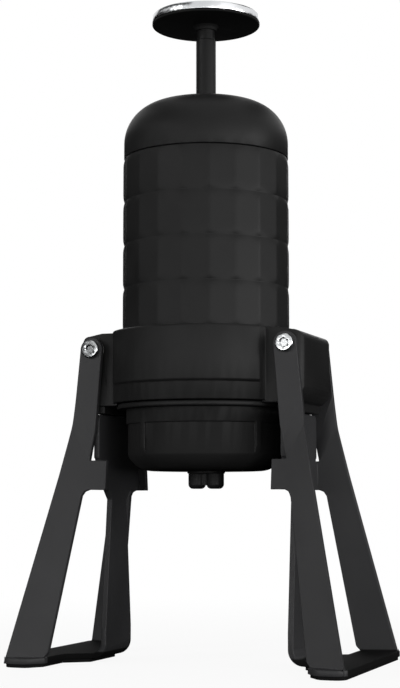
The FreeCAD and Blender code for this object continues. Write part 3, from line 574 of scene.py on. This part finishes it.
def flag_cloth():
    """Black cloth that gives next to no light back."""
    f = Finish("flag_cloth")
    colour = f.mix(f.noise(20.0, 2.0), rgb("020202"), rgb("060606"))
    return f.close(Base_Color=colour, Roughness=0.9, Specular_IOR_Level=0.0)


UP = Vector((0, 0, 1))
CAMERA_TURN = math.radians(20.55)
ACROSS = Vector((math.cos(CAMERA_TURN), math.sin(CAMERA_TURN), 0))
AWAY = Vector((-math.sin(CAMERA_TURN), math.cos(CAMERA_TURN), 0))
cloth = flag_cloth()


def dark_card(name, corners, diffuse=False):
    """Black card that only the object's own reflections see. With diffuse it also keeps the
    light off that would come from its side."""
    card = flat_sheet(name, corners, cloth)
    card.visible_camera = False
    card.visible_shadow = False
    card.visible_transmission = False
    card.visible_diffuse = diffuse


def standing_card(name, start, end, low, high):
    """Upright card from start to end on the ground. low and high are its lower and upper
    edges' heights, each at the start and at the end."""
    dark_card(name, [start + low[0] * UP, end + low[1] * UP,
                     end + high[1] * UP, start + high[0] * UP])


floor = flat_sheet("floor", [(-4, -4, 0), (4, -4, 0), (4, 4, 0), (-4, 4, 0)], studio_floor())
floor.visible_glossy = False
floor.visible_diffuse = False

# Two cards at each side, one above the other with a slit of bright studio between them.
back, back_half, near_half = 1.3, 0.37, 0.42   # metres behind the object and to each side of it
for name, side, near in (("card_left", -1, -0.45), ("card_right", 1, 0.0)):
    start = side * near_half * ACROSS + near * AWAY
    end = side * back_half * ACROSS + back * AWAY
    standing_card(name + "_low", start, end, (0, 0), (0.33, 0.55))
    standing_card(name + "_high", start, end, (0.55, 0.95), (1.0, 1.4))
standing_card("card_back", back * AWAY - back_half * ACROSS, back * AWAY + back_half * ACROSS,
              (0, 0), (0.3, 0.3))
standing_card("card_rim", Vector((-0.12, -0.43, 0)), Vector((-0.47, 0.15, 0)),
              (0.405, 0.405), (0.55, 0.55))
ground_r, ground_sides = 2.5, 24
turns = [2 * math.pi * i / ground_sides for i in range(ground_sides)]
dark_card("card_ground", [ground_r * Vector((math.cos(a), math.sin(a), 0)) - 2 * MM * UP
                          for a in turns], diffuse=True)


def studio_world(ambient):
    """White for the camera and in reflections, and dimmer as the light that falls on things."""
    world = bpy.data.worlds.new("studio")
    bpy.context.scene.world = world
    world.use_nodes = True
    world.node_tree.nodes.clear()
    w = Tree(world.node_tree)
    camera_ray, glossy_ray, through_ray = w.several(
        "ShaderNodeLightPath", None, ("Is Camera Ray", "Is Glossy Ray", "Is Transmission Ray"))
    seen = camera_ray.at_least(glossy_ray).at_least(through_ray)
    soft, white = [w.node("ShaderNodeBackground", None, {"Color": WHITE, "Strength": strength})
                   for strength in (ambient, 1.0)]
    w.node("ShaderNodeOutputWorld", None, {"Surface": w.blended(seen, soft, white)}, out=None)


def softbox(name, place, aim, width, height, watts):
    """Rectangular lamp at place, turned to aim."""
    lamp = bpy.data.lights.new(name, "AREA")
    lamp.shape = "RECTANGLE"
    lamp.size, lamp.size_y = width, height
    lamp.energy = watts
    obj = placed(name, lamp)
    obj.location = place
    obj.rotation_euler = (Vector(aim) - Vector(place)).to_track_quat("-Z", "Y").to_euler()


studio_world(0.2)
softbox("key_right", (1.3, -0.55, 0.6), (0, 0, 0.15), 0.9, 1.1, 1.2)
softbox("side_right", (1.35, 0.1, 0.2), (0, 0, 0.1), 0.6, 0.4, 6.8)
softbox("low_right", (1.2, -0.75, 0.12), (0, 0, 0.08), 0.6, 0.24, 5.2)
softbox("front_right", (0.9, -1.2, 0.2), (0, 0, 0.1), 0.4, 0.4, 1.8)
softbox("fill_left", (-1.0, -1.1, 0.35), (0, 0, 0.1), 0.6, 0.7, 10.5)
softbox("low_front", (0.1, -1.3, 0.09), (0, 0, 0.08), 1.4, 0.14, 4.2)
softbox("back", (-0.4, 1.5, 0.5), (0, 0, 0.13), 1.2, 1.0, 2.5)
softbox("top", (0.0, 0.2, 1.6), (0, 0, 0.1), 1.4, 1.4, 0.5)

bpy.context.scene.view_settings.view_transform = "Standard"

lens = bpy.data.cameras.new("camera")
lens.lens = 83.3
lens.clip_start = 0.01
camera = placed("camera", lens)
camera.location = (0.2354, -0.6354, 0.0677)
level, tilt = math.radians(90), math.radians(5.63)
camera.rotation_euler = (level + tilt, 0, CAMERA_TURN)
bpy.context.scene.camera = camera
